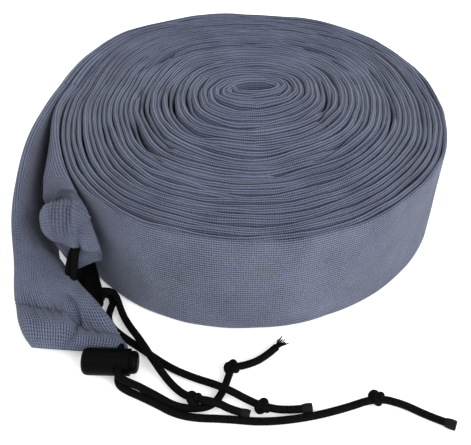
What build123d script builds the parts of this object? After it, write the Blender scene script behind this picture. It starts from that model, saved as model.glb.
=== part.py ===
"""Knitted hose sleeve, folded in half and rolled flat, with a drawcord and a cord lock at each end."""

import os
from math import cos, pi, radians, sin, tan

from build123d import *

# Driving dimensions, millimetres.
ROLL_HEIGHT = 79.0  # the flat width of the knitted tube
CORD_DIAMETER = 4.5
CORD_SPACING = 2.4  # of each strand from the middle of a lock
CHANNEL_GAP = 0.1
STITCH_DEPTH = 0.8
KNOT_RADIUS = 4.6
KNOT_GAP = 0.1
ARC_SHARE = 0.45  # of the shorter run, taken by each bend of a cord

# The roll from above: bearing in degrees and radius. It starts and ends at the step
# where the two ends of the sleeve come off it.
ROLL_OUTLINE = (
    (172, 124.0), (189, 126.5), (205, 129.0), (224, 135.0), (238, 139.5), (262, 139.5),
    (300, 139.5), (350, 140.0), (400, 140.0), (450, 140.0), (500, 139.5), (532, 138.0),
)

# The soft pieces, station by station: upper edge, lower edge, thickness.
FRONT_END = (
    ((-133.3, 18.4, 78.5), (-133.3, 18.4, 0.5), 6.0),
    ((-137.5, -8.0, 78.5), (-136.8, -8.0, 0.6), 6.0),
    ((-141.5, -44.0, 78.0), (-137.0, -42.0, 0.6), 7.0),
    ((-143.5, -70.0, 71.0), (-131.0, -62.0, 1.5), 7.0),
    ((-144.5, -92.0, 58.0), (-124.0, -88.0, 12.0), 8.0),
    ((-143.5, -108.0, 42.0), (-120.0, -108.0, 22.0), 8.0),
    ((-142.0, -121.0, 24.0), (-118.0, -124.0, 22.0), 7.0),
    ((-141.5, -127.0, 14.0), (-100.0, -141.0, 16.0), 8.0),
    ((-141.0, -131.0, 9.5), (-77.0, -149.0, 10.0), 10.0),
)
# The hems: the seam's two ends, then the mouth's two ends, all in one plane.
FRONT_HEM = ((-141.0, -131.0, 8.8), (-77.0, -149.0, 8.8), (-66.5, -162.0, 8.8), (-126.0, -159.5, 8.8))
FRONT_HEM_THICKNESS = 16.0
REAR_END = (
    ((-126.9, 17.5, 78.5), (-126.9, 17.5, 0.5), 5.5),
    ((-130.2, -10.0, 78.5), (-129.8, -10.0, 0.6), 6.0),
    ((-127.2, -40.0, 78.5), (-126.4, -40.0, 0.6), 6.5),
    ((-123.8, -68.0, 78.0), (-119.5, -66.0, 1.5), 6.5),
    ((-122.5, -86.0, 77.5), (-114.0, -84.0, 30.0), 7.5),
    ((-122.0, -98.0, 75.0), (-104.5, -97.5, 56.5), 8.0),
    ((-121.0, -107.0, 69.0), (-94.0, -112.0, 58.0), 10.0),
)
REAR_HEM = ((-121.0, -107.0, 69.0), (-94.0, -112.0, 58.0), (-92.5, -122.0, 42.5), (-119.5, -117.0, 53.5))
REAR_HEM_THICKNESS = 14.0
HEM_ROUNDING = 0.42  # of its thickness

# The barrel cord lock, along its own X: the button is at the + end, the cords run along Y.
LOCK_RADIUS = 8.0
LOCK_CLOSED_END = -22.0
LOCK_RIM = 6.2
LOCK_END_WALL = 2.0
CAVITY_RADIUS = 6.95
HOLE_LENGTH = 5.2
HOLE_WIDTH = 10.0
HOLE_ROUNDING = 2.2
BUTTON_RADIUS = 6.7
BUTTON_BACK = -5.6
BUTTON_TOP = 11.0
BUTTON_TRAVEL = 3.5
BUTTON_DOME = 2.8
SPRING_RADIUS = 4.5
SPRING_WIRE = 0.7
SPRING_COILS = 5

# Each lock's place: its cord hole's middle, the way its button points, the way its cords leave.
FRONT_LOCK = ((-70.0, -171.3, 8.3), (1.0, 0.0, 0.0), (0.0, -1.0, 0.0))
REAR_LOCK = ((-95.6, -122.6, 12.4), (0.343, -0.881, -0.325), (0.803, 0.455, -0.385))

# Centre lines of the cord. Each hem cord goes from one tail round its hem to the other tail.
FRONT_HEM_CORD = (
    (-57.0, -195.8, 3.1), (-62.5, -194.2, 3.4), (-70.0, -188.4, 5.9), (-70.0, -161.6, 5.9),
    (-72.6, -158.5, 5.7), (-79.0, -153.6, 4.9), (-90.0, -151.3, 4.5), (-122.5, -147.2, 4.1),
    (-126.5, -147.0, 6.6), (-126.5, -147.0, 10.4), (-122.5, -147.2, 12.9), (-90.0, -151.3, 12.9),
    (-79.0, -153.6, 12.2), (-72.6, -158.5, 11.0), (-70.0, -161.6, 10.7), (-70.0, -186.8, 10.7),
    (-63.0, -190.4, 8.0), (-57.7, -191.2, 6.6),
)
REAR_HEM_CORD = (
    (-82.1, -123.9, 3.4), (-82.6, -119.5, 4.0), (-86.3, -116.4, 5.3), (-106.0, -127.5, 14.8),
    (-107.0, -125.6, 20.4), (-107.5, -120.5, 31.0), (-105.0, -115.5, 42.0), (-99.6, -112.6, 50.6),
    (-112.8, -110.1, 56.0), (-115.7, -111.2, 58.3), (-115.4, -114.5, 60.5), (-112.3, -116.7, 60.35),
    (-99.0, -119.2, 55.0), (-101.3, -122.0, 44.5), (-103.3, -123.6, 34.0), (-104.2, -126.2, 24.6),
    (-103.7, -128.1, 18.9), (-84.0, -117.0, 9.5), (-79.7, -120.3, 7.6), (-77.8, -124.8, 6.3),
)

# The tails go on from a hem cord's two ends, straight for their first run; then these points.
FRONT_LONG_TAIL = (
    (-28.0, -205.0, 2.4), (-6.0, -206.6, 2.4), (16.0, -206.0, 2.4), (40.0, -201.6, 2.4),
    (60.0, -195.2, 2.8), (79.0, -188.7, 4.8), (94.0, -191.2, 3.0), (107.0, -198.2, 2.5),
    (116.0, -202.4, 3.3),
)
FRONT_SHORT_TAIL = (
    (-33.0, -197.5, 2.4), (-21.5, -200.2, 2.4), (-11.5, -195.5, 2.4), (-8.0, -184.5, 2.4),
    (-6.0, -175.0, 3.2), (-4.5, -168.5, 4.8), (6.0, -165.6, 3.0), (16.0, -160.0, 2.8),
    (22.5, -152.5, 3.3),
)
REAR_SHORT_TAIL = (
    (-69.0, -141.0, 3.6), (-60.0, -154.8, 7.8), (-50.0, -170.0, 7.8), (-41.0, -181.2, 4.4),
    (-34.0, -187.6, 3.8), (-25.5, -191.5, 4.8), (-19.0, -194.0, 8.0), (-10.5, -196.8, 7.6),
    (-4.5, -198.4, 4.6), (2.0, -199.8, 3.9),
)
REAR_LONG_TAIL = (
    (-77.5, -138.5, 2.4), (-71.0, -147.5, 2.4), (-58.0, -159.8, 2.4), (-41.0, -172.2, 2.4),
    (-26.0, -180.0, 4.2), (-14.0, -184.6, 7.8), (-4.5, -187.8, 7.8), (5.0, -191.0, 5.0),
    (14.0, -194.2, 4.8), (28.0, -196.4, 3.0), (37.0, -195.2, 3.3),
)

# Each tail: name, its hem cord, its first run, its other points, the knot among them, and the
# radius and length of the melted tip.
TAILS = (
    ("front_long_tail", FRONT_HEM_CORD[::-1], 11.2, FRONT_LONG_TAIL, (79.0, -188.7, 4.8), 3.1, 6.0),
    ("front_short_tail", FRONT_HEM_CORD, 11.2, FRONT_SHORT_TAIL, (-4.5, -168.5, 4.8), 3.1, 6.5),
    ("rear_short_tail", REAR_HEM_CORD, 7.5, REAR_SHORT_TAIL, (-25.5, -191.5, 4.8), 2.8, 5.0),
    ("rear_long_tail", REAR_HEM_CORD[::-1], 6.2, REAR_LONG_TAIL, (14.0, -194.2, 4.8), 3.1, 5.5),
)


def tail_route(hem_cord, first_run, points):
    """A tail's corners: it leaves the hem cord's end in line with it."""
    before, start = Vector(*hem_cord[-2]), Vector(*hem_cord[-1])
    lead = start + (start - before).normalized() * first_run
    return [tuple(start), tuple(lead)] + list(points)


def sleeve_roll():
    """The rolled body: one solid of the sleeve's flat width."""
    rim = [(r * cos(radians(bearing)), r * sin(radians(bearing))) for bearing, r in ROLL_OUTLINE]
    outline = [Spline(*rim), Line(rim[-1], rim[0])]
    return extrude(make_face(outline), ROLL_HEIGHT)


def section(station, ahead):
    """The flattened tube across its length: a rounded bar from the upper edge to the lower edge."""
    upper, lower, thickness = Vector(*station[0]), Vector(*station[1]), station[2]
    across = upper - lower
    side = across.normalized()
    forward = ahead - side * ahead.dot(side)
    place = Plane(origin=(upper + lower) * 0.5, x_dir=across, z_dir=forward)
    outline = place * RectangleRounded(across.length, thickness, 0.45 * thickness)
    return outline.faces()[0]


def middle(station):
    return (Vector(*station[0]) + Vector(*station[1])) * 0.5


def soft_piece(stations, end_way):
    """A sleeve end, lofted from station to station; the last one faces the way given."""
    faces = []
    for i, station in enumerate(stations[:-1]):
        before = stations[max(i - 1, 0)]
        faces.append(section(station, middle(stations[i + 1]) - middle(before)))
    faces.append(section(stations[-1], end_way))
    return loft(faces, ruled=True)


def hem_way(corners):
    """The way from a hem's seam to its mouth, square to the seam."""
    first, second, third, _ = (Vector(*corner) for corner in corners)
    seam = (second - first).normalized()
    side = third - second
    return (side - seam * side.dot(seam)).normalized()


def hem_plate(corners, thickness, channel):
    """The folded channel at a mouth: a flat bar with rounded sides, and the cord's way through it."""
    step = hem_way(corners) * STITCH_DEPTH
    first, second, third, fourth = (Vector(*corner) for corner in corners)
    first, second = first + step, second + step
    face = make_face(Polyline(first, second, third, fourth, close=True)).faces()[0]
    plate = extrude(face, thickness / 2, both=True)
    side_ways = ((third - second).normalized(), (fourth - first).normalized())
    sides = [
        edge for edge in plate.edges()
        if max(abs((edge % 0.5).dot(way)) for way in side_ways) > 0.999
    ]
    return fillet(sides, HEM_ROUNDING * thickness) - channel


def corner_radius(before, corner, after):
    """The bend of a cord at a corner, as large as its two runs allow."""
    before, corner, after = Vector(*before), Vector(*corner), Vector(*after)
    turn = (corner - before).get_angle(after - corner)
    shorter = min((corner - before).length, (after - corner).length)
    return ARC_SHARE * shorter / tan(radians(turn / 2))


def cord_path(name, points):
    """Straight runs joined by tangent arcs."""
    radii = [corner_radius(*corner) for corner in zip(points, points[1:], points[2:])]
    runs = [(Vector(*after) - Vector(*before)).length for before, after in zip(points, points[1:])]
    print(name, "radii", [round(r, 1) for r in radii], "runs", [round(run, 1) for run in runs])
    return FilletPolyline(*points, radius=radii)


def cord(name, points, radius=CORD_DIAMETER / 2):
    """A round cord along its route; it prints its length, and its volume against section times length."""
    path = cord_path(name, points)
    tube = sweep(Plane(origin=path @ 0, z_dir=path % 0) * Circle(radius), path=path)
    share = tube.volume / (pi * radius**2 * path.length)
    print(name, "length", round(path.length, 1), "volume share", round(share, 4), "low", tube.bounding_box().min.Z)
    return tube


def knot(route, centre):
    """An overhand knot, as the round lump that it makes on its cord, which goes through it."""
    at = route.index(centre)
    way = Vector(*route[at + 1]) - Vector(*route[at - 1])
    lump = Sphere(KNOT_RADIUS) - Cylinder(CORD_DIAMETER / 2 + KNOT_GAP, 4 * KNOT_RADIUS)
    return Plane(origin=centre, z_dir=way) * lump


def tip(route, radius, length):
    """The melted or frayed end of a cord: a bud, face to face with the cord's end."""
    end, before = Vector(*route[-1]), Vector(*route[-2])
    bud = Cylinder(radius, length, align=(Align.CENTER, Align.CENTER, Align.MIN))
    bud = fillet(bud.edges().filter_by(GeomType.CIRCLE), 0.4 * radius)
    return Plane(origin=end, z_dir=end - before) * bud


def along_x(start, end, radius):
    """A cylinder on a lock's axis, from one place on it to another."""
    return Pos((start + end) / 2, 0, 0) * Rot(0, 90, 0) * Cylinder(radius, end - start)


def circles_at(shape, x):
    edges = shape.edges().filter_by(GeomType.CIRCLE)
    return [edge for edge in edges if abs(edge.arc_center.X - x) < 0.01]


def cord_hole(start, end):
    """The crossways slot for two strands, between two places on a lock's axis."""
    slot = Pos((start + end) / 2, 0, 0) * Box(end - start, 6 * LOCK_RADIUS, HOLE_WIDTH)
    return fillet(slot.edges().filter_by(Axis.Y), HOLE_ROUNDING)


def lock_barrel():
    body = along_x(LOCK_CLOSED_END, LOCK_RIM, LOCK_RADIUS)
    body = fillet(circles_at(body, LOCK_CLOSED_END), 3.5)
    body = body - along_x(LOCK_CLOSED_END + LOCK_END_WALL, LOCK_RIM + 1, CAVITY_RADIUS)
    return body - cord_hole(-HOLE_LENGTH / 2, HOLE_LENGTH / 2)


def lock_button():
    button = along_x(BUTTON_BACK, BUTTON_TOP, BUTTON_RADIUS)
    button = fillet(circles_at(button, BUTTON_TOP), BUTTON_DOME)
    return button - cord_hole(-HOLE_LENGTH / 2, HOLE_LENGTH / 2 + BUTTON_TRAVEL)


def lock_spring():
    start = LOCK_CLOSED_END + LOCK_END_WALL + SPRING_WIRE / 2
    height = BUTTON_BACK - SPRING_WIRE / 2 - start
    coil = Helix(pitch=height / SPRING_COILS, height=height, radius=SPRING_RADIUS)
    wire = sweep(Plane(origin=coil @ 0, z_dir=coil % 0) * Circle(SPRING_WIRE / 2), path=coil, is_frenet=True)
    return Pos(start, 0, 0) * Rot(0, 90, 0) * wire


def lock_place(centre, axis, cord_way):
    axis, cord_way = Vector(*axis), Vector(*cord_way)
    return Plane(origin=centre, x_dir=axis, z_dir=axis.cross(cord_way))


def build():
    nodes = {"sleeve_roll": sleeve_roll()}
    sides = (
        ("front", FRONT_END, FRONT_HEM, FRONT_HEM_THICKNESS, FRONT_HEM_CORD, FRONT_LOCK),
        ("rear", REAR_END, REAR_HEM, REAR_HEM_THICKNESS, REAR_HEM_CORD, REAR_LOCK),
    )
    for side, end, hem, thickness, route, lock in sides:
        way = hem_way(hem)
        channel = cord(f"{side}_channel", route, CORD_DIAMETER / 2 + CHANNEL_GAP)
        nodes[f"{side}_sleeve_end"] = soft_piece(end, way)
        nodes[f"{side}_hem_stitching"] = extrude(section(end[-1], way), STITCH_DEPTH, dir=tuple(way))
        nodes[f"{side}_hem"] = hem_plate(hem, thickness, channel)
        nodes[f"{side}_hem_cord"] = cord(f"{side}_hem_cord", route)
        place = lock_place(*lock)
        nodes[f"{side}_lock_barrel"] = place * lock_barrel()
        nodes[f"{side}_lock_button"] = place * lock_button()
        nodes[f"{side}_lock_spring"] = place * lock_spring()
    for name, hem_cord, first_run, points, knot_point, tip_radius, tip_length in TAILS:
        route = tail_route(hem_cord, first_run, points)
        nodes[name] = cord(name, route)
        nodes[f"{name}_knot"] = knot(route, knot_point)
        nodes[f"{name}_tip"] = tip(route, tip_radius, tip_length)
    return nodes


os.makedirs("parts", exist_ok=True)
for node, shape in build().items():
    export_step(shape, f"parts/{node}.step")
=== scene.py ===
"""A knitted hose sleeve, double-rolled, with its two drawcord ends, on a pale studio floor."""

from math import cos, pi, radians, sin

import bpy
import numpy as np
from mathutils import Matrix, Vector, noise


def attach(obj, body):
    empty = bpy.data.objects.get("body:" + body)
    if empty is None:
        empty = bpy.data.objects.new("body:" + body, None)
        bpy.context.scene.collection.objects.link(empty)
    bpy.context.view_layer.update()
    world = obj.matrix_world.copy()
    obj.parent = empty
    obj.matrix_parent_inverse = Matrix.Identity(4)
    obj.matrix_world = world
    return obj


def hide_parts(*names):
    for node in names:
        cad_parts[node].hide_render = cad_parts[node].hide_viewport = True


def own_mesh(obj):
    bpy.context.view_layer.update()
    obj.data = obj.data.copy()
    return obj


# Millimetres throughout; objects are made in metres.
MM = 0.001
WIDTH = 79.0  # flat width of the sleeve, the height of the roll
TURNS = 16.0  # double turns, each of two strips
STEP_BEARING = 172  # degrees, where the two ends come off the roll
CORE = np.array((5.6, 22.2))
CORE_WAY = np.array((0.97, 0.24))  # the core is longer this way
CORE_STRETCH = 12.0
PAIR_PITCH = 5.9  # two strips together, at the wall
PAIR_GROWTH = 0.119  # half of what each double turn inwards adds to that
CORE_PITCH = 9.4  # the same at the core
WALL_AT_STEP = 124.0
PAIR_AT_STEP = 8  # how much further out a turn is when it comes round to the step
# From this bearing on, the turns inside the outermost lie further in, by this much at the step.
LOOSE_FROM = 430
LOOSE_BY = 5.6
RING_SPACING = 5.2  # between the points along the roll
# The roll's wall from above: bearing in degrees and radius, once round from step to step.
OUTLINE = (
    (172, 124.0), (189, 127.4), (205, 131.3), (215, 134.8), (224, 138.2), (238, 141.0), (262, 141.0),
    (280, 140.8), (294, 139.0), (316, 140.0), (340, 141.4), (356, 140.4), (370, 140.4), (384, 142.2),
    (404, 143.4), (418, 140.8), (434, 138.8), (452, 138.4), (470, 140.8), (484, 143.6), (495, 144.0),
    (511, 140.6), (524, 138.2), (532, 137.6),
)
CORD_RADIUS = 2.25
FRAYED_TAIL = "front_short_tail"
# The spring in a lock, along the lock's axis from its cord hole, and each lock's place: its cord
# hole's middle, the way its button points, the way its cords leave, and its body.
SPRING_START = -19.65
SPRING_LENGTH = 13.7
SPRING_RADIUS = 4.5
SPRING_WIRE = 0.35
SPRING_COILS = 5
LOCKS = (
    ("front", (-70.0, -171.3, 8.3), (1.0, 0.0, 0.0), (0.0, -1.0, 0.0), "front_lock"),
    ("rear", (-95.6, -122.6, 12.4), (0.343, -0.881, -0.325), (0.803, 0.455, -0.385), "sleeve"),
)
# Where the windings stand apart and leave a dark gap, seen from above.
GAPS = (
    ((-80, 43), (-62, 65), (-28, 80), (-9, 85), (13, 88)),
    ((-15, 113), (8, 118), (30, 113), (68, 102)),
    ((48, 80), (65, 67), (74, 50)),
    ((56, 34), (60, 11), (52, -20)),
    ((-56, 13), (-50, -14), (-34, -35), (-21, -44)),
    ((-42, 2), (-30, -19), (-18, -26), (0, -28), (17, -23)),
    ((-77, -26), (-62, -56), (-53, -66)),
    ((-76, 16), (-73, -5), (-62, -33), (-48, -53)),
    ((20, -78), (45, -66), (66, -44)),
    ((96, 48), (106, 20), (104, -12)),
)
GAP_REACH = 2.4
EDGE = 0.5  # between the cloth's folds and the full width
KNOT_SIZE = 3.0
KNOT_CORD_RADIUS = 2.1
THREAD_ENDS = 26

FRONT_HEM_CORD = (
    (-57.5, -190.0, 3.2), (-64.5, -187.6, 4.0), (-69.6, -184.0, 5.4), (-70.0, -178.0, 5.9),
    (-70.0, -161.6, 5.9), (-72.6, -158.5, 5.7), (-79.0, -153.6, 4.9), (-90.0, -151.3, 4.5),
    (-122.5, -147.2, 4.1),
    (-126.5, -147.0, 6.0), (-126.5, -147.0, 9.2), (-122.5, -147.2, 10.8), (-90.0, -151.3, 10.6),
    (-79.0, -153.6, 10.2), (-72.6, -158.5, 10.4), (-70.0, -161.6, 10.7), (-70.0, -177.0, 10.7),
    (-69.4, -182.4, 10.2), (-64.0, -185.0, 8.8), (-57.5, -186.6, 7.2),
)
REAR_HEM_CORD = (
    (-82.1, -123.9, 3.4), (-82.6, -119.5, 4.0), (-86.3, -116.4, 5.3), (-106.0, -127.5, 14.8),
    (-107.0, -125.6, 20.4), (-107.5, -120.5, 31.0), (-105.0, -115.0, 41.0), (-99.6, -112.0, 50.0),
    (-111.8, -108.4, 53.5), (-114.9, -108.2, 54.5), (-114.6, -109.8, 57.0), (-111.3, -110.6, 57.6),
    (-99.0, -114.0, 55.6), (-101.3, -118.2, 45.0), (-103.3, -122.0, 33.5), (-104.2, -126.0, 24.6),
    (-103.7, -128.1, 18.9), (-84.0, -117.0, 9.5), (-79.7, -120.3, 7.6), (-77.8, -124.8, 6.3),
)
FRONT_LONG_TAIL = (
    (-47.0, -194.4, 2.5), (-36.0, -200.6, 2.4), (-24.0, -203.2, 2.4), (-6.0, -203.2, 2.4),
    (14.0, -204.8, 2.4), (38.0, -201.4, 2.4), (60.0, -195.2, 2.8), (79.0, -188.7, 4.8),
    (94.0, -191.2, 3.0), (107.0, -198.2, 2.5), (116.0, -202.4, 3.3),
)
FRONT_SHORT_TAIL = (
    (-47.5, -190.6, 5.2), (-36.0, -196.4, 3.0), (-24.5, -197.6, 2.4), (-13.8, -194.8, 2.4),
    (-8.6, -185.0, 2.4), (-6.2, -176.5, 3.2), (-4.3, -170.6, 4.8), (5.0, -167.4, 3.0),
    (15.0, -161.8, 2.8), (22.5, -154.0, 3.3),
)
REAR_SHORT_TAIL = (
    (-75.0, -131.5, 4.4), (-69.0, -141.0, 3.6), (-60.0, -154.8, 7.8), (-50.0, -170.0, 7.8),
    (-41.0, -180.6, 4.4), (-33.0, -188.4, 4.2), (-25.2, -192.8, 5.4), (-19.0, -195.0, 8.0),
    (-10.5, -196.8, 7.6), (-4.5, -198.4, 4.6), (2.0, -199.8, 3.9),
)
REAR_LONG_TAIL = (
    (-84.0, -131.0, 2.6), (-81.5, -139.5, 2.4), (-73.5, -147.5, 2.4), (-58.0, -158.2, 2.4),
    (-41.0, -170.4, 2.4), (-26.0, -178.2, 4.2), (-14.0, -184.4, 7.8), (-4.5, -188.4, 7.8),
    (5.0, -192.2, 5.0), (13.8, -196.2, 4.8), (26.0, -197.4, 3.0), (36.5, -196.2, 3.3),
)
# Name, whole route, the knot's point, length along the route, and tip radius and length.
TAILS = (
    ("front_long_tail", (FRONT_HEM_CORD[0],) + FRONT_LONG_TAIL, 8, 179.5, 3.1, 6.0),
    ("front_short_tail", (FRONT_HEM_CORD[-1],) + FRONT_SHORT_TAIL, 7, 107.6, 3.1, 6.5),
    ("rear_short_tail", (REAR_HEM_CORD[-1],) + REAR_SHORT_TAIL, 7, 117.1, 2.8, 5.0),
    ("rear_long_tail", (REAR_HEM_CORD[0],) + REAR_LONG_TAIL, 10, 148.8, 3.1, 5.5),
)

# The ends off the roll: upper edge, lower edge, thickness at each station.
FRONT_END = (
    ((-132.9, 18.7, 78.5), (-132.9, 18.7, 0.5), 6.4),
    ((-137.4, -8.0, 78.8), (-136.8, -8.0, 0.6), 5.6),
    ((-141.3, -44.0, 78.0), (-137.0, -42.0, 0.6), 5.8),
    ((-142.6, -70.0, 71.0), (-132.0, -62.0, 1.5), 6.0),
    ((-143.5, -92.0, 57.0), (-124.5, -88.0, 6.5), 6.5),
    ((-143.0, -108.0, 41.0), (-114.5, -106.0, 20.0), 7.0),
    ((-142.0, -120.0, 25.0), (-99.5, -126.5, 26.0), 8.0),
    ((-141.5, -126.0, 15.5), (-85.0, -140.5, 22.0), 10.5),
    ((-140.5, -132.0, 10.0), (-75.5, -148.5, 14.0), 13.0),
    ((-136.5, -144.0, 9.3), (-69.5, -155.5, 9.6), 17.5),
    ((-131.5, -153.0, 7.6), (-67.5, -159.0, 7.8), 14.0),
    ((-126.0, -159.0, 4.8), (-68.5, -162.6, 5.2), 7.6),
)
REAR_END = (
    ((-126.2, 17.7, 78.5), (-126.2, 17.7, 0.5), 6.4),
    ((-130.0, -10.0, 78.6), (-130.0, -10.0, 0.6), 5.4),
    ((-125.5, -40.0, 78.5), (-127.5, -40.0, 0.6), 5.8),
    ((-117.0, -66.5, 78.2), (-122.0, -62.0, 1.5), 6.4),
    ((-109.5, -83.5, 77.5), (-119.0, -77.0, 7.0), 7.0),
    ((-102.5, -95.0, 75.0), (-121.5, -87.5, 30.0), 8.0),
    ((-97.0, -101.5, 71.0), (-123.3, -95.5, 52.0), 10.0),
    ((-92.5, -106.5, 66.5), (-124.0, -101.5, 62.5), 13.0),
    ((-90.0, -112.0, 61.5), (-123.3, -106.5, 60.5), 17.0),
    ((-88.0, -117.0, 55.0), (-121.5, -109.0, 55.5), 17.0),
    ((-87.5, -120.0, 50.0), (-118.5, -110.0, 51.5), 12.0),
)
# How far the cloth bellies out at each station.
FRONT_BELLY = (0.0,) * len(FRONT_END)
REAR_BELLY = (0.0, 0.0, 3.5, 9.5, 11.5, 6.0, 1.5, 0.0, 0.0, 0.0, 0.0)
# Creases pressed into the upper side of the ends, seen from above: a line, its depth and its
# half width; a negative depth is a ridge.
FRONT_CREASES = (
    (((-106.2, -137.3), (-101.5, -141.5), (-98.3, -148.0), (-98.2, -154.5), (-101.4, -159.1),
      (-105.0, -162.0)), 3.8, 1.9),
    (((-107.5, -142.0), (-104.5, -149.0), (-106.0, -155.5)), -1.8, 4.0),
    (((-117.0, -140.0), (-111.5, -143.5)), 1.8, 3.6),
    (((-121.0, -92.0), (-110.0, -114.0), (-99.0, -134.0)), 1.1, 1.5),
    (((-131.0, -100.0), (-128.0, -122.0), (-124.0, -133.0)), 0.8, 2.2),
    (((-127.0, -138.0), (-124.0, -150.0), (-120.0, -157.0)), 0.9, 1.3),
    (((-90.0, -154.0), (-82.0, -157.5)), 1.0, 2.0),
)
REAR_CREASES = (
    (((-119.0, -45.0), (-112.0, -73.0), (-104.0, -90.0), (-98.5, -101.0)), 1.3, 0.9),
    (((-117.0, -52.0), (-109.0, -76.0), (-101.5, -91.0), (-95.5, -101.0)), 1.2, 0.9),
    (((-122.0, -60.0), (-116.0, -78.0), (-109.0, -92.0), (-104.0, -101.0)), 0.9, 1.3),
    (((-91.0, -110.0), (-94.5, -115.0), (-97.8, -119.0), (-98.2, -124.0)), 3.4, 1.7),
    (((-102.0, -108.0), (-101.0, -115.0), (-102.5, -121.0)), -1.6, 3.4),
    (((-89.5, -117.5), (-93.5, -120.0)), 1.6, 1.4),
)
# How far the seam is drawn towards the mouth, from the lower edge to the upper one.
FRONT_SEAM_DRAW = ((0.0, 0.34, 0.46, 1.0), (6.0, 8.0, -2.5, -1.5))
REAR_SEAM_DRAW = ((0.0, 0.3, 0.6, 1.0), (2.0, -2.0, -2.5, 3.0))

# Pitches of the knit, in metres.
WALE_PITCH = 0.0018
COURSE_PITCH = 0.0014
DARK_YARN = (0.011, 0.015, 0.030, 1)
LIGHT_YARN = (0.15, 0.180, 0.258, 1)
VIOLET_YARN = (0.05, 0.047, 0.098, 1)
DARK_THREAD = (0.03, 0.038, 0.065, 1)
LIGHT_THREAD = (0.15, 0.18, 0.26, 1)
VIOLET_THREAD = (0.055, 0.05, 0.105, 1)

# The camera, in metres.
CAMERA_PLACE = (0.0, -0.42147, 0.35817)
CAMERA_LOOKS_DOWN = 0.64756  # the sine of the angle, and the cosine
CAMERA_LOOKS_AHEAD = 0.76201
CAMERA_ROLL = 0.02475


def wobble(x, y, z, seed):
    """Smooth noise between about -1 and 1."""
    return noise.noise(Vector((x + 17.3 * seed, y - 9.1 * seed, z + 5.7 * seed)))


def add_object(name, data):
    obj = bpy.data.objects.new(name, data)
    bpy.context.collection.objects.link(obj)
    return obj


def add_spline(curve, points):
    """One smooth line in a curve, drawn towards its points."""
    spline = curve.splines.new("NURBS")
    spline.points.add(len(points) - 1)
    for point, place in zip(spline.points, points):
        point.co = (place[0] * MM, place[1] * MM, place[2] * MM, 1.0)
    spline.order_u = 3
    spline.use_endpoint_u = True


class Section:
    """A flattened tube across: two straight sides and two rounded folds, as points round it."""

    def __init__(self, on_side, on_fold):
        fold = np.linspace(0, pi, on_fold)
        straight = (np.arange(on_side) + 1) / (on_side + 1)
        ones, zeros = np.ones(on_side), np.zeros(on_fold)
        self.side = np.concatenate((ones, np.cos(fold), -ones, -np.cos(fold)))
        self.share = np.concatenate((straight, zeros + 1, 1 - straight, zeros))
        self.lift = np.concatenate((ones * 0, np.sin(fold), ones * 0, -np.sin(fold)))
        outline = np.stack((self.side * 2, self.heights(0, WIDTH, 2.5)), axis=1)
        steps = np.linalg.norm(np.roll(outline, -1, axis=0) - outline, axis=1)
        self.around = np.concatenate(((0,), np.cumsum(steps) / steps.sum())) * 2 * WIDTH

    def heights(self, bottom, top, fold):
        """The height of each point, with folds that are so high."""
        return bottom + fold + (top - bottom - 2 * fold) * self.share + fold * self.lift


def way_off(place, lines, reach):
    """How strongly a place is on one of the lines: 1 on it, fading over the reach."""
    best = 1e9
    for line in lines:
        for start, end in zip(line, line[1:]):
            start, end = np.array(start, float), np.array(end, float)
            run = end - start
            share = min(1.0, max(0.0, np.dot(place - start, run) / np.dot(run, run)))
            best = min(best, float(np.linalg.norm(place - start - run * share)))
    return np.exp(-((best / reach) ** 2))


def tube_mesh(name, rings, along, across):
    """A closed tube through rings of points, capped at both ends, with UVs in metres of cloth."""
    rings = np.asarray(rings, float)
    count, around = rings.shape[:2]
    across = np.broadcast_to(across, (count, around + 1))
    verts = rings.reshape(-1, 3)
    caps = [rings[0].mean(axis=0), rings[-1].mean(axis=0)]
    verts = np.vstack((verts, caps)) * MM
    faces, uvs = [], []
    for i in range(count - 1):
        for j in range(around):
            k = (j + 1) % around
            faces.append((i * around + j, i * around + k, (i + 1) * around + k, (i + 1) * around + j))
            uvs += [(along[i], across[i, j]), (along[i], across[i, j + 1])]
            uvs += [(along[i + 1], across[i + 1, j + 1]), (along[i + 1], across[i + 1, j])]
    last = (count - 1) * around
    middle = count * around
    for base, centre, flip in ((0, middle, True), (last, middle + 1, False)):
        row = along[0] if flip else along[-1]
        lap = across[0] if flip else across[-1]
        for j in range(around):
            k = (j + 1) % around
            pair = (base + k, base + j) if flip else (base + j, base + k)
            faces.append(pair + (centre,))
            uvs += [(row, lap[j]), (row, lap[j + 1]), (row, lap[j])]
    mesh = bpy.data.meshes.new(name)
    mesh.from_pydata([tuple(v) for v in verts], [], faces)
    layer = mesh.uv_layers.new(name="cloth")
    layer.data.foreach_set("uv", (np.array(uvs) * MM).ravel())
    mesh.polygons.foreach_set("use_smooth", [len(face) == 4 for face in faces])
    mesh.update()
    return add_object(name, mesh)


def wall_radius(turns_in):
    """The outer wall of the outermost strip but so many turns in, measured from its own middle."""
    bearing = STEP_BEARING + 360 - 360 * min(turns_in, 1.0)
    known = np.array(OUTLINE)
    outline = np.interp(bearing, known[:, 0], known[:, 1])
    if turns_in <= 1:
        return outline
    past_step = (360 * (1 - turns_in)) % 360
    around = STEP_BEARING + past_step
    bump = np.interp(around, known[:, 0], known[:, 1]) - WALL_AT_STEP - PAIR_AT_STEP * past_step / 360
    loose_end = np.interp(around, (LOOSE_FROM, STEP_BEARING + 360), (0, LOOSE_BY))
    inward = PAIR_PITCH * (turns_in - 1) + PAIR_GROWTH * (turns_in - 1) ** 2
    fade = (1 - (turns_in - 1) / (TURNS - 1)) ** 0.8
    return WALL_AT_STEP - inward + (bump - loose_end) * fade


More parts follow.
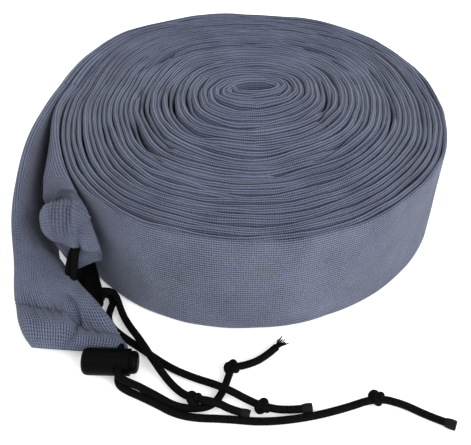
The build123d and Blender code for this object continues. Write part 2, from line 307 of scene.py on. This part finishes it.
def roll_place(turns_in, strip):
    """A strip's middle from above, and the room it has. Strip 0 is the front end's, 1 the rear's."""
    outer = wall_radius(turns_in)
    if turns_in + 1 < TURNS:
        inner = wall_radius(turns_in + 1)
    else:
        inner = max(outer - CORE_PITCH, 0.4)
    pitch = outer - inner
    front_share = 0.5 + 0.24 * wobble(2.1 * turns_in, 0.7, 0.0, 3) * min(1.0, 3 * turns_in)
    if strip == 0:
        room = pitch * front_share
        radius = outer - 0.5 * room
    else:
        room = pitch * (1 - front_share)
        radius = inner + 0.5 * room
    bearing = radians(STEP_BEARING - 360 * turns_in)
    way = np.array((cos(bearing), sin(bearing)))
    deep = turns_in / TURNS
    centre = CORE * min(1.0, deep)
    stretch = CORE_STRETCH * deep**1.9 * np.dot(way, CORE_WAY)
    ripple = 1.1 * wobble(3 * way[0], 3 * way[1], radius / 26, 1) * min(1.0, 3 * turns_in)
    ripple += 0.35 * wobble(9 * way[0], 9 * way[1], radius / 14, 2) * min(1.0, 3 * turns_in)
    place = centre + way * (radius + ripple) + CORE_WAY * stretch
    return place, room


def strip_line(strip):
    """A strip from the wall in to the core: its places, with their room and their turns in."""
    line = []
    turns_in = 0.0
    while turns_in < TURNS:
        place, room = roll_place(turns_in, strip)
        line.append((place, room, turns_in))
        turns_in += RING_SPACING / (2 * pi * max(np.linalg.norm(place - CORE), 7))
    return line


def roll_line():
    """The sleeve's line from above, from the front end in to the core and out to the rear end."""
    inward = strip_line(0)
    outward = strip_line(1)
    outward.reverse()
    turn_from, turn_to = inward[-1][0], outward[0][0]
    middle = 0.5 * (turn_from + turn_to)
    ahead = turn_from - inward[-3][0]
    ahead = ahead / np.linalg.norm(ahead)
    bend = []
    for share in (0.25, 0.5, 0.75):
        angle = pi * share
        place = middle + (turn_from - middle) * cos(angle) + ahead * 2.0 * sin(angle)
        bend.append((place, inward[-1][1], TURNS))
    places, rooms, depths = zip(*(inward + bend + outward))
    return np.array(places), np.array(rooms), np.array(depths)


def build_roll():
    """The wound sleeve as one long flattened tube, and its length."""
    line, rooms, depths = roll_line()
    tangent = np.gradient(line, axis=0)
    tangent /= np.linalg.norm(tangent, axis=1)[:, None]
    normal = np.stack((-tangent[:, 1], tangent[:, 0]), axis=1)
    along = np.concatenate(((0,), np.cumsum(np.linalg.norm(np.diff(line, axis=0), axis=1))))
    section = Section(6, 7)
    rings = []
    for i, place in enumerate(line):
        s = along[i]
        near_end = min(1.0, 6 * depths[i])
        apart = way_off(place, GAPS, GAP_REACH) * near_end
        loose = max(0.0, wobble(place[0] / 15, place[1] / 15, s / 70, 4)) * near_end
        thickness = rooms[i] * (0.95 - 0.22 * loose) * (1 - 0.45 * apart)
        shift = 0.22 * rooms[i] * wobble(s / 31, 0.0, 0.5, 5) * near_end
        top = WIDTH - EDGE - max(0.0, 1.1 + 2.6 * wobble(s / 75, place[0] / 60, 0.0, 6)) * near_end
        top -= 1.2 * max(0.0, wobble(s / 17, 0.3, 0.0, 7)) * near_end + 3.0 * apart
        bottom = EDGE + 0.5 * near_end * (1 + wobble(s / 40, 0.0, 3.0, 8))
        ring = []
        for side, z in zip(section.side, section.heights(bottom, top, 0.75 * thickness)):
            lean = 0.35 * wobble(s / 22, z / 30, 0.0, 9) * near_end
            off = side * thickness / 2 + shift * (0.3 + 0.7 * z / WIDTH) + lean
            x, y = place + normal[i] * off
            ring.append((x, y, z))
        rings.append(ring)
    return tube_mesh("sleeve_roll_cloth", rings, along, section.around), along[-1]


def end_frames(stations, per_mm):
    """Smooth rows of upper edge, lower edge and thickness, and where each is, in stations."""
    data = np.array([tuple(upper) + tuple(lower) + (thick,) for upper, lower, thick in stations])
    padded = np.vstack((2 * data[0] - data[1], data, 2 * data[-1] - data[-2]))
    rows, places = [], []
    for i in range(len(data) - 1):
        p0, p1, p2, p3 = padded[i : i + 4]
        longest = max(np.linalg.norm(p2[:3] - p1[:3]), np.linalg.norm(p2[3:6] - p1[3:6]))
        count = max(4, int(longest * per_mm))
        for t in np.arange(count) / count:
            shape = 2 * p1 + (p2 - p0) * t + (2 * p0 - 5 * p1 + 4 * p2 - p3) * t * t
            rows.append(0.5 * (shape + (3 * p1 - p0 - 3 * p2 + p3) * t**3))
            places.append(i + t)
    rows.append(data[-1])
    places.append(len(data) - 1.0)
    return np.array(rows), np.array(places)


def build_end(name, stations, belly, seam, gathers, seed, mouth, under, fold_depth, creases, seam_draw):
    """A sleeve end with its hem: a flattened tube that twists and gathers at the seam.

    seam is the station of the seam and gathers the pleats round it. mouth is how far the cloth
    turns in and how open it stays. under is about how much longer the lower ply's hem is. fold_depth is
    the size of the slow folds. It also returns the rings, the seam's ring and the length.
    """
    rows, places = end_frames(stations, 0.6)
    upper, lower, thick = rows[:, :3], rows[:, 3:6], rows[:, 6]
    middle = 0.5 * (upper + lower)
    ahead = np.gradient(middle, axis=0)
    ahead /= np.linalg.norm(ahead, axis=1)[:, None]
    across = upper - lower
    reach = np.linalg.norm(across, axis=1)
    across = across / reach[:, None]
    face = np.cross(ahead, across)
    face /= np.linalg.norm(face, axis=1)[:, None]
    along = np.concatenate(((0,), np.cumsum(np.linalg.norm(np.diff(middle, axis=0), axis=1))))
    seam_at = np.interp(seam, places, along)
    hem_depth = along[-1] - seam_at
    bellies = np.interp(places, range(len(belly)), belly)
    section = Section(39, 17)
    rings = []
    for i in range(len(rows)):
        s = along[i] - seam_at
        start = min(1.0, along[i] / 14)
        near = np.exp(-((s / 13.0) ** 2))
        drawn = np.exp(-((s / 15.0) ** 2))
        groove = np.exp(-((s / 1.3) ** 2))
        in_hem = 1.0 if s > 0 else 0.0
        fold = min((0.75 - 0.15 * start) * thick[i], 0.26 * reach[i])
        ring = []
        for k, side in enumerate(section.side):
            height = section.heights(0, reach[i], fold)[k] / reach[i]
            v = section.around[k] / (2 * WIDTH)
            pleat = sin(2 * pi * gathers * v + 2.4 * wobble(s / 25, 6 * v, 0.0, seed) + seed)
            soft = wobble(along[i] / 19, height * 3.1, side, seed + 1)
            slow = wobble(along[i] / 42, height * 1.5, side * 0.5, seed + 2)
            rim = 1.0 - abs(2 * height - 1) ** 4
            outward = np.sign(side) * min(1.0, 2 * abs(side))
            off = side * thick[i] / 2
            off += start * (0.5 * soft + fold_depth * slow) * (0.35 + 0.65 * rim)
            off += outward * near * (0.7 + 0.35 * in_hem) * pleat * (0.4 + 0.6 * rim)
            off += bellies[i] * sin(pi * height**2.2) - outward * 1.5 * groove
            place = lower[i] + across[i] * reach[i] * height + face[i] * off
            place = place + across[i] * 0.4 * near * pleat
            place = place + ahead[i] * np.interp(height, *seam_draw) * drawn
            outside = face[i] * outward
            if outside[2] > 0.15:
                for line, depth, width in creases:
                    place = place - outside * depth * way_off(place[:2], (line,), width)
            longer = under * (1.3 - 0.9 * height) * max(0.0, -side)
            place = place + ahead[i] * longer * min(1.0, max(0.0, s / hem_depth))
            place[2] = max(place[2], 0.25)
            ring.append(place)
        rings.append(ring)
    # The first ring is inside the roll's own strip, so that the two meet without a gap.
    heart = np.mean(rings[0], axis=0)
    rings.insert(0, [heart + 0.94 * (point - heart) - 2.0 * ahead[0] for point in rings[0]])
    along = [along[0] - 2.0] + list(along)
    # The cloth turns in over the mouth's edge and goes back inside the hem.
    last = np.array(rings[-1])
    heart = last.mean(axis=0)
    depth_in, open_by = mouth
    for depth, flatter, narrower in (
        (0.9, 0.3 * (1 - open_by) + open_by, 0.99), (0.5, open_by + 0.1, 0.975),
        (-2.0, open_by, 0.965), (-depth_in, 0.95 * open_by, 0.95),
    ):
        ring = []
        for point in last:
            offset = point - heart
            flat = np.dot(offset, face[-1])
            wide = offset - face[-1] * flat
            ring.append(heart + wide * narrower + face[-1] * flat * flatter + ahead[-1] * depth)
        rings.append(ring)
        along.append(along[-1] + 2.0)
    rings = np.array(rings)
    steps = np.linalg.norm(np.roll(rings, -1, axis=1) - rings, axis=2)
    laps = np.hstack((np.zeros((len(rings), 1)), np.cumsum(steps, axis=1)))
    obj = tube_mesh(name, rings, along, laps / laps[:, -1:] * 2 * WIDTH)
    seam_ring = int(np.argmin(np.abs(np.array(along[: len(rows) + 1]) - seam_at)))
    return obj, rings, seam_ring, along[len(rows)]


def curve_object(name, points, radius):
    """A round cord along points, as one NURBS curve."""
    curve = bpy.data.curves.new(name, "CURVE")
    curve.dimensions = "3D"
    add_spline(curve, points)
    curve.resolution_u = 10
    curve.bevel_depth = radius * MM
    curve.bevel_resolution = 7
    curve.use_fill_caps = True
    return add_object(name, curve)


def build_spring(name, centre, axis, cord_way):
    """A lock's spring: a coil along the lock's axis, from its closed end to its button."""
    axis = Vector(axis).normalized()
    third = axis.cross(Vector(cord_way)).normalized()
    second = third.cross(axis)
    steps = SPRING_COILS * 28
    rings = []
    for i in range(steps + 1):
        angle = 2 * pi * SPRING_COILS * i / steps
        out = second * cos(angle) + third * sin(angle)
        foot = Vector(centre) + axis * (SPRING_START + SPRING_LENGTH * i / steps)
        place = foot + out * SPRING_RADIUS
        rise = axis * SPRING_LENGTH / (2 * pi * SPRING_COILS)
        tangent = (rise + (third * cos(angle) - second * sin(angle)) * SPRING_RADIUS).normalized()
        side = tangent.cross(out)
        turns = [2 * pi * j / 10 for j in range(10)]
        rings.append([tuple(place + (out * cos(t) + side * sin(t)) * SPRING_WIRE) for t in turns])
    wire = 2 * pi * SPRING_WIRE
    run = 2 * pi * SPRING_RADIUS * SPRING_COILS
    return tube_mesh(name, rings, np.linspace(0, run, steps + 1), np.linspace(0, wire, 11))


def knot_points(centre, way, size, turn):
    """An overhand knot's line, drawn tight about a centre."""
    way = Vector(way).normalized()
    side = way.cross(Vector((0, 0, 1))).normalized()
    up = side.cross(way)
    points = []
    for i in range(30):
        t = radians(15 + 330 * i / 29)
        a = (sin(t) + 2 * sin(2 * t)) / 3
        b = (cos(t) - 2 * cos(2 * t)) / 3
        c = -sin(3 * t)
        spin_a = a * cos(turn) - b * sin(turn)
        spin_b = a * sin(turn) + b * cos(turn)
        place = Vector(centre) + way * spin_a * size + side * spin_b * size + up * c * size * 0.5
        points.append(tuple(place))
    return points


def fray_points(end, way, number, reach):
    """The thread ends at a frayed tip: bent lines that spread from the cord's end."""
    side = way.cross(Vector((0, 0, 1))).normalized()
    up = side.cross(way)
    lines = []
    for i in range(number):
        angle = 2.4 * i
        spread = 0.55 + 0.35 * wobble(1.7 * i, 0.4, 0.0, 41)
        out = side * cos(angle) + up * 0.6 * sin(angle)
        root = end + out * 1.3
        middle = root + way * reach * 0.45 + out * 0.4 * spread
        forth = 0.8 + 0.5 * wobble(0.0, 1.3 * i, 0.2, 42)
        tip = root + way * reach * forth + out * reach * 0.45 * spread
        middle.z = max(middle.z, 0.4)
        tip.z = max(tip.z, 0.4)
        lines.append((tuple(root), tuple(middle), tuple(tip)))
    return lines


def many_curves(name, lines, radius):
    """Several fine threads in one curve object."""
    curve = bpy.data.curves.new(name, "CURVE")
    curve.dimensions = "3D"
    curve.bevel_depth = radius * MM
    curve.bevel_resolution = 2
    curve.use_fill_caps = True
    for line in lines:
        add_spline(curve, line)
    return add_object(name, curve)


def stitch_lines(rings, seam_ring):
    """The seam's stitches: short bowed lines round the seam's ring, one to every second step."""
    seam = rings[seam_ring]
    middle = seam.mean(axis=0)
    around = len(seam)
    lines = []
    for j in range(0, around, 2):
        a, b = seam[j], seam[(j + 1) % around]
        ahead = rings[seam_ring + 1][j] - rings[seam_ring - 1][j]
        outward = np.cross(b - a, ahead)
        outward = outward / max(np.linalg.norm(outward), 1e-6)
        if np.dot(outward, a - middle) < 0:
            outward = -outward
        lines.append((a - outward * 0.1, a * 0.7 + b * 0.3 + outward * 0.45,
                      a * 0.3 + b * 0.7 + outward * 0.45, b - outward * 0.1))
    return lines


# ---- materials ----


def new_material(name):
    material = bpy.data.materials.new(name)
    material.use_nodes = True
    nodes = material.node_tree.nodes
    return material, nodes, material.node_tree.links, nodes["Principled BSDF"]


def math_node(nodes, links, kind, a, b=None):
    node = nodes.new("ShaderNodeMath")
    node.operation = kind
    for socket, value in zip(node.inputs, (a, b)):
        if value is None:
            continue
        if isinstance(value, (int, float)):
            socket.default_value = value
        else:
            links.new(value, socket)
    return node.outputs[0]


def noise_node(nodes, links, place, scale, detail):
    node = nodes.new("ShaderNodeTexNoise")
    node.inputs["Scale"].default_value = scale
    node.inputs["Detail"].default_value = detail
    links.new(place.outputs["Object"], node.inputs["Vector"])
    return node.outputs["Fac"]


def bump_node(nodes, links, shader, height, strength, distance):
    node = nodes.new("ShaderNodeBump")
    node.inputs["Strength"].default_value = strength
    node.inputs["Distance"].default_value = distance
    links.new(height, node.inputs["Height"])
    links.new(node.outputs["Normal"], shader.inputs["Normal"])
    return node


def knit_material(name, dark, light, violet):
    """Ribbed knit: wales along the sleeve, stitches along each wale, soft fuzz and uneven dye."""
    material, nodes, links, shader = new_material(name)
    uv = nodes.new("ShaderNodeUVMap")
    uv.uv_map = "cloth"
    split = nodes.new("ShaderNodeSeparateXYZ")
    links.new(uv.outputs["UV"], split.inputs[0])
    along, around = split.outputs["X"], split.outputs["Y"]
    wale = math_node(nodes, links, "MULTIPLY", around, 2 * pi / WALE_PITCH)
    rib = math_node(nodes, links, "SINE", wale)
    half_rib = math_node(nodes, links, "COSINE", math_node(nodes, links, "MULTIPLY", wale, 0.5))
    lean = math_node(nodes, links, "MULTIPLY", math_node(nodes, links, "ABSOLUTE", half_rib), 1.9)
    course = math_node(nodes, links, "MULTIPLY", along, 2 * pi / COURSE_PITCH)
    stitch = math_node(nodes, links, "SINE", math_node(nodes, links, "ADD", course, lean))
    height = math_node(nodes, links, "ADD", math_node(nodes, links, "MULTIPLY", rib, 0.72),
                       math_node(nodes, links, "MULTIPLY", stitch, 0.44))
    place = nodes.new("ShaderNodeTexCoord")
    fuzz = noise_node(nodes, links, place, 1500.0, 3.0)
    cloud = noise_node(nodes, links, place, 42.0, 5.0)
    uneven_dye = noise_node(nodes, links, place, 13.0, 2.0)
    ramp = nodes.new("ShaderNodeValToRGB")
    ramp.color_ramp.elements[0].position = 0.34
    ramp.color_ramp.elements[0].color = dark
    ramp.color_ramp.elements[1].position = 0.96
    ramp.color_ramp.elements[1].color = light
    tone = math_node(nodes, links, "ADD", math_node(nodes, links, "MULTIPLY", cloud, 0.55),
                     math_node(nodes, links, "MULTIPLY", height, 0.4))
    tone = math_node(nodes, links, "ADD", tone, math_node(nodes, links, "MULTIPLY", fuzz, 0.75))
    links.new(tone, ramp.inputs["Fac"])
    shift = nodes.new("ShaderNodeMix")
    shift.data_type = "RGBA"
    links.new(math_node(nodes, links, "MULTIPLY", uneven_dye, 0.5), shift.inputs["Factor"])
    links.new(ramp.outputs["Color"], shift.inputs["A"])
    shift.inputs["B"].default_value = violet
    links.new(shift.outputs["Result"], shader.inputs["Base Color"])
    total = math_node(nodes, links, "ADD", height, math_node(nodes, links, "MULTIPLY", fuzz, 0.8))
    bump_node(nodes, links, shader, total, 0.75, 0.0005)
    shader.inputs["Roughness"].default_value = 0.95
    shader.inputs["Specular IOR Level"].default_value = 0.15
    shader.inputs["Sheen Weight"].default_value = 0.12
    shader.inputs["Sheen Roughness"].default_value = 0.6
    return material


def cord_material():
    """Black braid, as small raised cells all over the cord."""
    material, nodes, links, shader = new_material("braided black cord")
    place = nodes.new("ShaderNodeTexCoord")
    closer = nodes.new("ShaderNodeMapping")
    closer.inputs["Scale"].default_value = (700.0, 700.0, 700.0)
    links.new(place.outputs["Object"], closer.inputs["Vector"])
    weave = nodes.new("ShaderNodeTexVoronoi")
    weave.inputs["Scale"].default_value = 1.0
    links.new(closer.outputs["Vector"], weave.inputs["Vector"])
    ramp = nodes.new("ShaderNodeValToRGB")
    ramp.color_ramp.elements[0].color = (0.003, 0.003, 0.0035, 1)
    ramp.color_ramp.elements[1].color = (0.0006, 0.0006, 0.0007, 1)
    links.new(weave.outputs["Distance"], ramp.inputs["Fac"])
    links.new(ramp.outputs["Color"], shader.inputs["Base Color"])
    bump = bump_node(nodes, links, shader, weave.outputs["Distance"], 0.9, 0.0004)
    bump.invert = True
    shader.inputs["Roughness"].default_value = 0.8
    shader.inputs["Specular IOR Level"].default_value = 0.05
    return material


def grained_material(name, color, roughness, metallic=0.0):
    """Moulded plastic, melted cord or drawn wire, with a fine grain."""
    material, nodes, links, shader = new_material(name)
    place = nodes.new("ShaderNodeTexCoord")
    grain = noise_node(nodes, links, place, 600.0, 4.0)
    spread = nodes.new("ShaderNodeMapRange")
    spread.inputs["To Min"].default_value = roughness - 0.06
    spread.inputs["To Max"].default_value = roughness + 0.08
    links.new(grain, spread.inputs["Value"])
    links.new(spread.outputs["Result"], shader.inputs["Roughness"])
    bump_node(nodes, links, shader, grain, 0.12, 0.0001)
    shader.inputs["Base Color"].default_value = color
    shader.inputs["Metallic"].default_value = metallic
    shader.inputs["Specular IOR Level"].default_value = 0.5 if metallic else 0.03
    return material


def paint(obj, material):
    obj.data.materials.clear()
    obj.data.materials.append(material)


def place_piece(piece, material, body, slot, *nodes):
    """Paint a piece, say which body it rides on and hide the CAD nodes it stands for; slot is not used.
    """
    paint(piece, material)
    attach(piece, body)
    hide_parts(*nodes)


# ---- the scene ----

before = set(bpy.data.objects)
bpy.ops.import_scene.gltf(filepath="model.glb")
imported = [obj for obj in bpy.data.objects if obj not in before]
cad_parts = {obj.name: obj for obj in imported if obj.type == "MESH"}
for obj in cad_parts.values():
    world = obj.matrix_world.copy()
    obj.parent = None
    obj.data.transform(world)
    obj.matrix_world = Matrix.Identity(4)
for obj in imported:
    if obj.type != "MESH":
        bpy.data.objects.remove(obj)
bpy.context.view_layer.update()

camera_data = bpy.data.cameras.new("photo camera")
camera = add_object("photo camera", camera_data)
forward = Vector((0.0, CAMERA_LOOKS_AHEAD, -CAMERA_LOOKS_DOWN))
right = Vector((1.0, 0.0, 0.0))
up = Vector((0.0, CAMERA_LOOKS_DOWN, CAMERA_LOOKS_AHEAD))
right_tilted = right * cos(CAMERA_ROLL) + up * sin(CAMERA_ROLL)
up_tilted = up * cos(CAMERA_ROLL) - right * sin(CAMERA_ROLL)
turned = Matrix((right_tilted, up_tilted, -forward)).transposed().to_4x4()
camera.matrix_world = Matrix.Translation(CAMERA_PLACE) @ turned
camera_data.sensor_width = 36.0
camera_data.lens = 54.34
camera_data.shift_x = -0.0168
camera_data.shift_y = -0.0759
camera_data.clip_start = 0.01
bpy.context.scene.camera = camera

knit = knit_material("grey-blue knit", DARK_YARN, LIGHT_YARN, VIOLET_YARN)
thread = knit_material("seam thread", DARK_THREAD, LIGHT_THREAD, VIOLET_THREAD)
braid = cord_material()
black_plastic = grained_material("black lock plastic", (0.0015, 0.0015, 0.0017, 1), 0.42)
melted = grained_material("melted cord", (0.008, 0.008, 0.009, 1), 0.5)
steel = grained_material("spring steel", (0.6, 0.6, 0.6, 1), 0.3, 1.0)

for tail, route, knot_at, length, tip_radius, tip_length in TAILS:
    tube = curve_object(tail + "_cord", route, CORD_RADIUS)
    place_piece(tube, braid, "sleeve", "braided_cord", tail)
    before, after = Vector(route[knot_at - 1]), Vector(route[knot_at + 1])
    knot_line = knot_points(route[knot_at], after - before, KNOT_SIZE, 0.4 * knot_at)
    knot = curve_object(tail + "_overhand", knot_line, KNOT_CORD_RADIUS)
    place_piece(knot, braid, "sleeve", "braided_cord", tail + "_knot")
    end_way = (Vector(route[-1]) - Vector(route[-2])).normalized()
    if tail == FRAYED_TAIL:
        threads = fray_points(Vector(route[-1]), end_way, THREAD_ENDS, 7.5)
        bud = many_curves(tail + "_frayed_threads", threads, 0.28)
        tip_material = braid
    else:
        bud_route = [Vector(route[-1]) + end_way * s for s in (-0.4, tip_length * 0.5, tip_length)]
        bud = curve_object(tail + "_bud", [tuple(p) for p in bud_route], tip_radius)
        for point, share in zip(bud.data.splines[0].points, (0.78, 1.08, 0.9)):
            point.radius = share
        tip_material = melted
    place_piece(bud, tip_material, "sleeve", "melted_cord", tail + "_tip")

for side, route in (("front", FRONT_HEM_CORD), ("rear", REAR_HEM_CORD)):
    loop = curve_object(side + "_hem_loop", route, CORD_RADIUS)
    place_piece(loop, braid, "sleeve", "braided_cord", side + "_hem_cord")

roll, sleeve_length = build_roll()
place_piece(roll, knit, "sleeve", "knit_fabric", "sleeve_roll")

for side, *shape in (
    ("front", FRONT_END, FRONT_BELLY, 8, 17, 11, (8.0, 0.42), 0.0, 1.2, FRONT_CREASES, FRONT_SEAM_DRAW),
    ("rear", REAR_END, REAR_BELLY, 7, 15, 31, (16.0, 0.8), 22.0, 0.9, REAR_CREASES, REAR_SEAM_DRAW),
):
    cloth, rings, seam_ring, length = build_end(side + "_end_cloth", *shape)
    place_piece(cloth, knit, "sleeve", "knit_fabric", side + "_sleeve_end", side + "_hem")
    row = many_curves(side + "_stitch_row", stitch_lines(rings, seam_ring), 0.32)
    place_piece(row, thread, "sleeve", "seam_thread", side + "_hem_stitching")

for side, centre, axis, cord_way, body in LOCKS:
    paint(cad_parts[side + "_lock_barrel"], black_plastic)
    paint(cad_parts[side + "_lock_button"], black_plastic)
    spring = build_spring(side + "_lock_coil_spring", centre, axis, cord_way)
    place_piece(spring, steel, body, "spring_steel", side + "_lock_spring")
    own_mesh(spring)

# ---- floor and light ----

bpy.ops.mesh.primitive_plane_add(size=80.0, location=(0, 0, -0.0004))
floor = bpy.context.object
floor.name = "studio floor"
floor_material, nodes, links, shader = new_material("white floor")
shader.inputs["Base Color"].default_value = (0.9, 0.9, 0.9, 1)
shader.inputs["Roughness"].default_value = 0.85
shader.inputs["Specular IOR Level"].default_value = 0.2
shader.inputs["Emission Color"].default_value = (1, 1, 1, 1)
shader.inputs["Emission Strength"].default_value = 0.3
paint(floor, floor_material)

world = bpy.data.worlds.new("studio")
world.use_nodes = True
world.node_tree.nodes["Background"].inputs["Color"].default_value = (1, 1, 1, 1)
world.node_tree.nodes["Background"].inputs["Strength"].default_value = 0.85
bpy.context.scene.world = world

for name, place, size, power in (
    ("key", (0.75, -0.85, 0.75), 0.7, 15.0),
    ("fill", (-0.8, -0.5, 1.1), 1.0, 5.0),
    ("back", (0.1, 1.0, 1.1), 1.0, 8.0),
):
    data = bpy.data.lights.new(name, "AREA")
    data.energy = power
    data.size = size
    lamp = add_object(name, data)
    lamp.location = place
    lamp.rotation_euler = (Vector((0, 0, 0.03)) - Vector(place)).to_track_quat("-Z", "Y").to_euler()
bpy.context.scene.view_settings.view_transform = "Standard"
